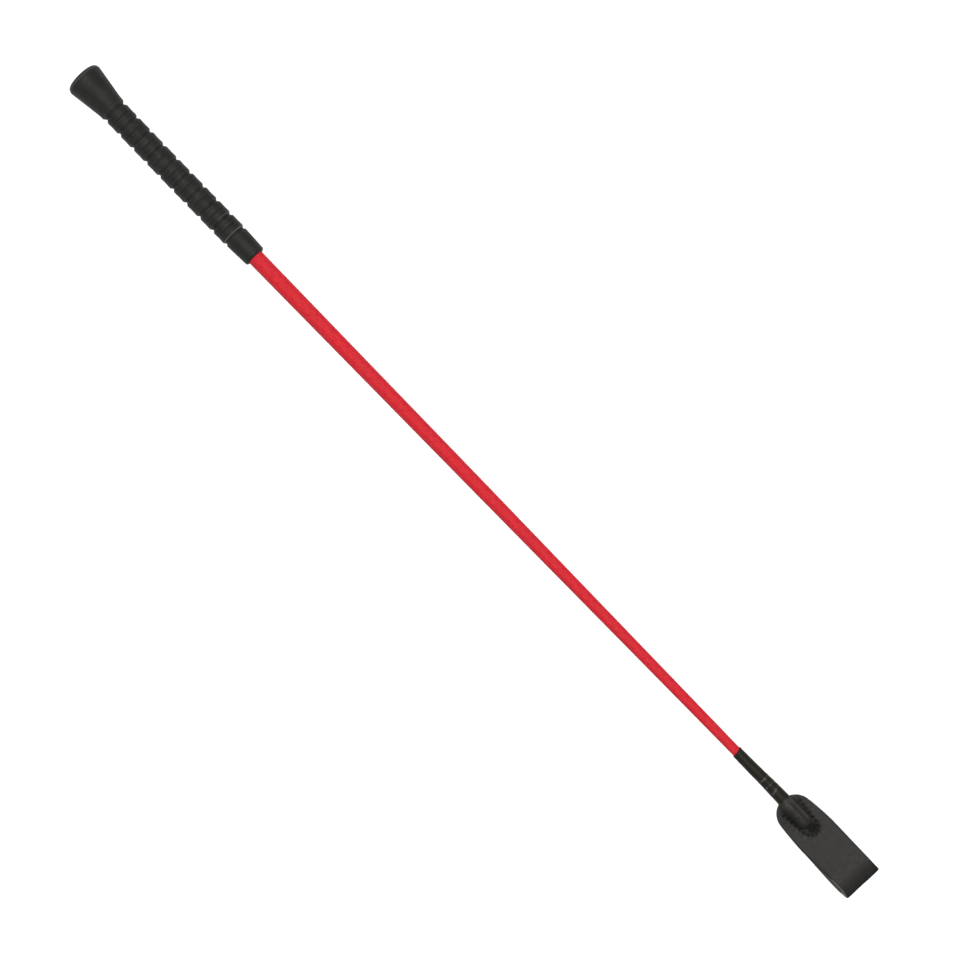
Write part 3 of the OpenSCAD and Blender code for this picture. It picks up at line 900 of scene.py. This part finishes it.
def bulge_height(x, y, front):
    """Height of the leather over the shaft's end, before it joins the flat leaf."""
    top = 4.4 * MM + 0.75 * MM * smoothstep((x - FLAP_START) / (3.4 * MM))
    top = top - 0.2 * MM * np.clip((x - FLAP_START) / (16 * MM), 0, 1)
    past_end = np.clip((x - TIP_X + 0.6 * MM) / (5.2 * MM), 0, 1)
    top = top * np.sqrt(1 - past_end**2)
    across = 1.04 if front else 1.0
    body = np.sqrt(np.maximum(top**2 - (y / across) ** 2, 0))
    ends = smoothstep((x - FLAP_START - 1 * MM) / (3 * MM)) * smoothstep((TIP_X + 3.5 * MM - x) / (3 * MM))
    drift = 0.3 * MM * np.sin((x - FLAP_START) / (4.1 * MM))
    if front:
        folds = 0.72 * hump(y, 3.3 * MM + drift, 0.85 * MM) - 0.55 * hump(y, 1.7 * MM + drift, 0.7 * MM)
        folds = folds + 0.22 * hump(y, 0.1 * MM + drift, 0.8 * MM) - 0.18 * hump(y, -2.8 * MM, 1.3 * MM)
    else:
        folds = 0.22 * hump(y, -2.4 * MM + drift, 1.1 * MM) - 0.20 * hump(y, -0.8 * MM + drift, 0.8 * MM)
    return body + folds * MM * ends


def seam_relief(x, y):
    """How hard the stitches press the leather, how near a needle hole is, and how the leather puckers."""
    off, along = seam_place(x, y)
    starts = smoothstep((x - FLAP_START - 3 * MM) / (2 * MM))
    hole = (0.5 + 0.5 * np.cos(TURN * along / STITCH_PITCH)) ** 2
    seam = hump(off, 0, 0.8 * MM) * starts
    return seam, hole, hump(off, 1.5 * MM, 1.3 * MM) * (hole - 0.4) * starts


def leaf_surface(x, y, front):
    """How far a leaf's outer and inner faces lie from the middle plane, and how much painted shade darkens
    the outer one.
    """
    free = smoothstep((x - PARALLEL_X) / (10 * MM))
    sway = 0.10 * MM * wobble(31 if front else 57, 5, x / (9 * MM), y / (7 * MM)) * free
    outer = soft_max(LEAF_HALF + 0 * x, bulge_height(x, y, front), 2.4 * MM)
    seam, hole, pucker = seam_relief(x, y)
    pit = hump(x, PIT_X, 2.9 * MM) * hump(y, 0.9 * MM, 3.5 * MM)
    pit = np.minimum(1.5 * pit * smoothstep((x - TIP_X - 2.5 * MM) / (2.5 * MM)), 1)
    swell = 0.45 * MM * hump(x, FLAP_END - 7.0 * MM, 5.0 * MM)
    outer = outer - (0.25 + 0.40 * hole) * MM * seam + 0.22 * MM * pucker - 0.85 * MM * pit + swell + sway
    sleeve_r = np.where(x < TIP_X + 1.5 * MM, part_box("tip_sleeve")[1].z, 0)
    clear = np.sqrt(np.maximum(sleeve_r**2 - y**2, 0)) + 0.03 * MM
    least = 0.05 * MM + 0.5 * MM * hump(x, FLAP_END - 5.0 * MM, 3.5 * MM)
    skived = 1 - 0.45 * smoothstep((FLAP_START + 5 * MM - x) / (5 * MM))
    inner = np.maximum(np.maximum(outer - LEAF_T * skived, clear), least)
    # Painted shade: in the stitch line and its holes, in the pit, on the bulge's -Y flank and the leaf's -Y
    # shoulder, which face away from the light, and towards the fold
    painted_flank_shade = 0.75 * hump(y, -4.2 * MM, 2.2 * MM) * hump(x, TIP_X - 5 * MM, 8 * MM)
    painted_shoulder_shade = 0.3 * hump(y, -9.4 * MM, 2.6 * MM) * hump(x, FLAP_START + 8 * MM, 8 * MM)
    painted_side_shade = painted_flank_shade + painted_shoulder_shade if front else 0
    painted_fold_shade = 0.62 * smoothstep((x - FLAP_END + 13 * MM) / (11 * MM))
    dark = np.clip(seam * (0.25 + 0.75 * hole) + pit + painted_side_shade + painted_fold_shade, 0, 1)
    return outer, np.minimum(inner, outer - 0.35 * MM), dark


def leaf_plan(across, share, front, end_x):
    """Where a point of a leaf lies in plan, from its place across the leaf and its share of the length."""
    start_x = ARCH_X - ARCH_R * np.cos(across * ARCH_ANGLE)
    start_y = ARCH_Y + ARCH_R * np.sin(across * ARCH_ANGLE)
    x = start_x + (end_x - start_x) * share
    free = smoothstep((x - LEAVES_PART_X) / (28 * MM)) * smoothstep((FLAP_END - 1 * MM - x) / (5 * MM))
    low = EDGE_LOW + (FRONT_INSET if front else -BACK_OUTSET) * free
    high = EDGE_HIGH if front else EDGE_HIGH - 0.25 * MM
    high = high - HIGH_TAPER * np.clip((x - TAPER_START) / TAPER_L, 0, 1)
    full = np.where(across > 0, high * across, -low * across)
    t = np.clip((x - start_x) / (PARALLEL_X - start_x), 0, 1)
    return x, start_y + (full - start_y) * t * (1.35 - 0.35 * t)


def fold_rows(top, bottom, end_x, reach):
    """Rows of points round the fold, from the front leaf's last row to the back leaf's."""
    rows = []
    for turn in np.radians(np.linspace(90, -90, 13)[1:-1]):
        up, down = max(math.sin(turn), 0), max(-math.sin(turn), 0)
        y = top[:, 1] + (bottom[:, 1] - top[:, 1]) * (1 - math.sin(turn)) / 2
        rows.append(np.stack([end_x + reach * math.cos(turn), y, top[:, 2] * up + bottom[:, 2] * down], -1))
    return np.stack(rows)


def strip_ends(rows, columns, count):
    """Faces that close both ends of the strip, between its outside, its two cut edges and its inside."""
    outer, inner = np.arange(count), 2 * count + 1 - np.arange(count)
    quads = np.stack([outer[:-1], inner[:-1], inner[1:], outer[1:]], -1).tolist()
    quads.append([count - 1, count + 2, count + 1, count])
    quads.append([0, columns - 1, columns - 2, 2 * count + 1])
    last = (rows - 1) * columns
    return quads + [[index + last for index in reversed(quad)] for quad in quads]


def leaf_rows(across, share, front, end_x):
    """One leaf's outside, inside and painted shade, in rows from its round end to the fold."""
    v, s = np.meshgrid(across, share)
    x, y = leaf_plan(v, s, front, end_x)
    outer, inner, shade = leaf_surface(x, y, front)
    outer = outer - 0.38 * MM * smoothstep((np.abs(v) - 0.94) / 0.06) ** 2
    side = 1 if front else -1
    return np.stack([x, y, side * outer], -1), np.stack([x, y, side * inner], -1), shade


def strip_grid(across, share):
    """The strip in rows round it, from the front leaf's round end to the back one's, and its painted shade.
    """
    fold_x = FLAP_END - FOLD_REACH + FOLD_SLANT * (1 + across) / 2
    reach = FOLD_REACH + 0.12 * MM * wobble(41, 3, across * 3) - 0.25 * MM * np.abs(across) ** 12
    front, back = (leaf_rows(across, share, side, fold_x) for side in (True, False))
    outside, inside = (
        np.concatenate([near, fold_rows(near[-1], far[-1], fold_x, round_it), far[::-1]])
        for near, far, round_it in ((front[0], back[0], reach), (front[1], back[1], reach - LEAF_T))
    )
    on_fold = len(outside) - 2 * len(share)
    shade = np.concatenate([front[2], np.repeat(front[2][-1:], on_fold, axis=0), back[2][::-1]])

    row = np.arange(len(outside))
    ease = np.minimum(1, np.minimum(row, row[::-1]) / 8)[:, None]
    edges = []
    for end, side in ((-1, 1), (0, -1)):
        swell = ease * [0, side * 0.16 * MM, 0]
        near, far = outside[:, end], inside[:, end]
        edges.append([(near * (1 - part) + far * part + swell)[:, None] for part in (0.28, 0.72)])
    high_edge, low_edge = edges
    return np.concatenate([outside, *high_edge, inside[:, ::-1], low_edge[1], low_edge[0]], axis=1), shade


def flap_marks(grid, shade):
    """What the leather's look reads: where it is flesh, where a bare edge carries a painted highlight, where
    wear and a painted highlight lighten it, and where painted shade darkens it.
    """
    rows, columns = grid.shape[:2]
    count = shade.shape[1]
    x, y, z = np.moveaxis(grid, -1, 0)
    flesh, bare_edge_and_highlight, dark = (np.zeros((rows, columns)) for _ in range(3))
    flesh[:, count:] = 1
    flesh[:, [count, columns - 1]] = 0.35
    dark[:, :count] = shade
    # Bare leather and painted highlight along the cut edges near the fold and at the low corner
    open_edge = smoothstep(2 * hump(x[:, -1], FLAP_END - 9.2 * MM, 4.4 * MM)) * (np.arange(rows) < rows / 2)
    bare_edge_and_highlight[:, -1] = open_edge
    bare_edge_and_highlight[:, 0] = 0.7 * open_edge
    corner = hump(x, FLAP_END - 3.2 * MM, 1.6 * MM) * smoothstep((-12.4 * MM - y) / (0.5 * MM))
    bare_edge_and_highlight = np.maximum(bare_edge_and_highlight, 0.8 * corner)
    # Partly wear and partly painted highlight: the bulge's top, its ridges and the lip at its mouth, where
    # the overhead light falls
    raised = z > 2.4 * MM
    tall = 0.5 * smoothstep((np.abs(z) - 4.2 * MM) / (1.0 * MM))
    ridges = 0.9 * hump(y, 3.4 * MM, 0.8 * MM) + 0.4 * hump(y, 0, 0.7 * MM)
    ridges = ridges * smoothstep((TIP_X + 4 * MM - x) / (2 * MM)) * raised
    lip = 1.6 * hump(x, FLAP_START + 3 * MM, 1.8 * MM) * hump(y, -0.5 * MM, 1.3 * MM) * raised
    wear_and_highlight = np.maximum(tall, ridges) + lip
    wear_and_highlight[:, count:] = 0
    return ("flesh", flesh), ("bare_edge_and_highlight", bare_edge_and_highlight), ("wear_and_highlight", wear_and_highlight), ("dark", dark)


def make_flap():
    """One strip of leather, folded at its far end, with both round ends sewn over the end of the shaft."""
    spread = np.linspace(-1, 1, 81)
    across = 0.55 * spread + 0.45 * spread**3
    share = np.concatenate([np.linspace(0, 0.42, 76), np.linspace(0.435, 0.9, 32), np.linspace(0.91, 1, 14)])
    grid, shade = strip_grid(across, share)
    rows, columns = grid.shape[:2]
    faces = tube_faces(rows, columns) + strip_ends(rows, columns, len(across))
    piece = new_piece("leather_flap", grid, [face[::-1] for face in faces], leather_look(), sharp=70)
    for name, values in flap_marks(grid, shade):
        mark(piece, name, values)
    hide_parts("flap_root", "flap_blade")
    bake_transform(piece)
    return piece


def stitch_path(x, y, heading):
    """One stitch: its line, which is a loop through both leaves, and the direction sideways from it."""
    top = leaf_surface(np.array([x]), np.array([y]), True)[0][0] + 0.12 * MM
    bottom = -leaf_surface(np.array([x]), np.array([y]), False)[0][0] - 0.12 * MM
    middle, tall = (top + bottom) / 2, (top - bottom) / 2
    t = columns_round(36)
    power = 0.45
    run = np.sign(np.cos(t)) * np.abs(np.cos(t)) ** power * (STITCH_L / 2 - THREAD_R)
    rise = np.sign(np.sin(t)) * np.abs(np.sin(t)) ** power * tall
    heading = np.array([math.cos(heading), math.sin(heading), 0])
    up = np.array([0, 0, 1])
    line = np.array([x, y, middle]) + run[:, None] * heading + rise[:, None] * up
    return line, np.cross(heading, up)


def make_stitches():
    """Sixteen stitches in a U: up one side of the shaft's end, round it and back."""
    places = []
    lean = math.atan(SEAM_SPREAD * STITCH_HALF_W)
    for i in range(STITCHES_A_LEG):
        x = STITCH_TURN_X - (i + 0.5) * STITCH_PITCH
        places += [(x, -STITCH_HALF_W, lean), (x, STITCH_HALF_W, -lean)]
    turn_count = round(math.pi * STITCH_HALF_W / STITCH_PITCH)
    for i in range(turn_count):
        angle = -math.pi / 2 + (i + 0.5) * math.pi / turn_count
        x = STITCH_TURN_X + STITCH_HALF_W * math.cos(angle)
        places.append((x, STITCH_HALF_W * math.sin(angle), angle + math.pi / 2))
    places = [(x, y * seam_spread(x), heading) for x, y, heading in places]
    sides = 8
    a = columns_round(sides)[:, None]
    points, faces = [], []
    for x, y, heading in places:
        line, sideways = stitch_path(x, y, heading)
        ahead = np.roll(line, -1, 0) - np.roll(line, 1, 0)
        ahead /= np.linalg.norm(ahead, axis=1)[:, None]
        normal = np.cross(ahead, sideways)[:, None]
        start = sum(len(part) for part in points)
        points.append((line[:, None] + THREAD_R * (np.cos(a) * sideways + np.sin(a) * normal)).reshape(-1, 3))
        faces += [[index + start for index in face[::-1]] for face in tube_faces(len(line), sides, loop=True)]
    thread = thread_look("sewing_thread", (0.006, 0.006, 0.006), (0.022, 0.022, 0.021), 14.0, 0.55)
    piece = new_piece("flap_thread", np.concatenate(points), faces, thread)
    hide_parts("flap_stitching")
    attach(piece, "shaft")
    return piece


# ---- CAD nodes that stay


def finish_kept_nodes():
    """Looks of the two tapes, whose CAD shape is kept."""
    for node, look in (("grip_tape", paper_tape_look()), ("tip_packing", cloth_tape_look())):
        for material_slot in frame["nodes"][node].material_slots:
            material_slot.material = look


# ---- stage


def make_floor():
    """A plain pale floor, low enough for the shaft and the flap to bend down above it."""
    half = 6.0
    level = cad_box[0].z - 140 * MM
    corners = [(-half, -half, level), (half, -half, level), (half, half, level), (-half, half, level)]
    paint = Look("floor_paint", (0.96, 0.96, 0.96), 0.9, specular=0.1).material
    floor = new_piece("floor", corners, [[0, 1, 2, 3]], paint)


def add_softbox(name, place, aim, size, watts):
    light = bpy.data.lights.new(name, "AREA")
    light.shape = "SQUARE"
    light.size = size
    light.energy = watts
    lamp = new_object(name, light)
    lamp.location = place
    lamp.rotation_mode = "QUATERNION"
    lamp.rotation_quaternion = (Vector(aim) - Vector(place)).to_track_quat("-Z", "Y")
    lamp.visible_camera = False


def make_lights():
    """A white room, with a broad softbox overhead and one at each side."""
    world = bpy.data.worlds.new("room")
    world.use_nodes = True
    background = world.node_tree.nodes["Background"]
    background.inputs["Color"].default_value = (1, 1, 1, 1)
    background.inputs["Strength"].default_value = 0.30
    bpy.context.scene.world = world
    middle = (cad_box[0] + cad_box[1]) / 2
    add_softbox("overhead", middle + Vector((0.0, 0.3, 1.9)), middle, 1.5, 48)
    add_softbox("left", middle + Vector((-0.2, -1.7, 0.65)), middle, 1.2, 5)
    add_softbox("right", middle + Vector((0.2, 1.8, 0.5)), middle, 0.9, 1)


def make_camera():
    """Straight above the crop, turned so that it runs from the upper left to the lower right."""
    camera = bpy.data.cameras.new("camera")
    eye = new_object("camera", camera)
    length = cad_box[1].x - cad_box[0].x
    away = 1.33
    shown_width = 0.855 * length
    camera.sensor_width = 36
    camera.lens = camera.sensor_width * away / shown_width
    eye.location = (0.5044 * length, 3.25 * MM, away)
    eye.rotation_euler = (0, 0, math.radians(45.78))
    bpy.context.scene.camera = eye


make_camera()
make_floor()
make_lights()
bpy.context.scene.view_settings.view_transform = "Standard"

make_grip()
make_rod()
make_yarn()
make_braid()
make_bindings()
make_sleeve()
make_bands()
flap = make_flap()
thread = make_stitches()
finish_kept_nodes()
